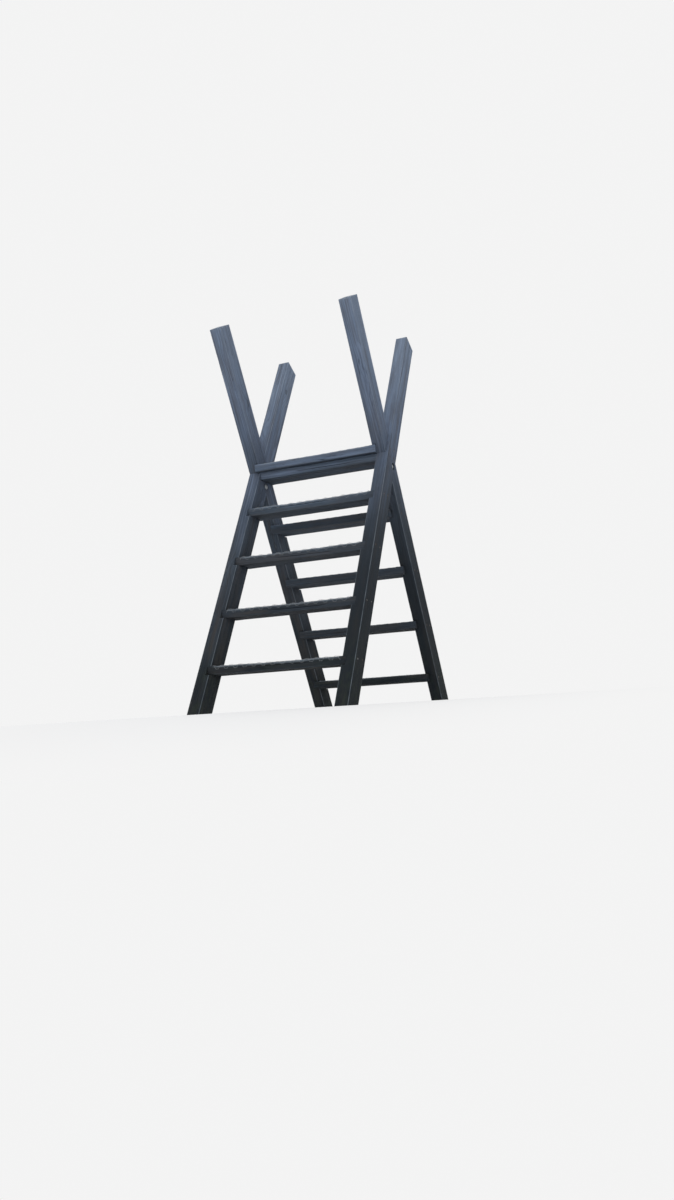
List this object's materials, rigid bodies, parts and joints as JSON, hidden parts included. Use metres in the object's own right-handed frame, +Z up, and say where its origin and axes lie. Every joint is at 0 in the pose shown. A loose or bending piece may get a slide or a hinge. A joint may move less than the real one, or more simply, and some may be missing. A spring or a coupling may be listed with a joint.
{
  "type": "wooden ladder stile",
  "caption": "Crossed-ladder timber stile: inclined stringers halved together at the top step and running on as hand posts, with treads on both sides.",
  "frame": {"origin": "on the ground, below the middle of the crossing", "axes": "+X along the treads, +Y from the near ladder's foot to the far one's, +Z up"},
  "size_m": [0.826, 1.6002, 2.1176],
  "materials": {
    "stringer_timber": "weathered sawn softwood",
    "tread_timber": "weathered, worn sawn softwood",
    "galvanised_steel": "dull galvanised, slightly rusted"
  },
  "bodies": {
    "root": {"near_left_stringer": "stringer_timber", "near_right_stringer": "stringer_timber", "far_left_stringer": "stringer_timber", "far_right_stringer": "stringer_timber", "near_tread_1": "tread_timber", "near_tread_2": "tread_timber", "near_tread_3": "tread_timber", "near_tread_4": "tread_timber", "near_tread_5": "tread_timber", "far_tread_1": "tread_timber", "far_tread_2": "tread_timber", "far_tread_3": "tread_timber", "far_tread_4": "tread_timber", "far_tread_5": "tread_timber", "left_bolt": "galvanised_steel", "left_washer": "galvanised_steel", "left_nut": "galvanised_steel", "right_bolt": "galvanised_steel", "right_washer": "galvanised_steel", "right_nut": "galvanised_steel"}
  },
  "joints": []
}
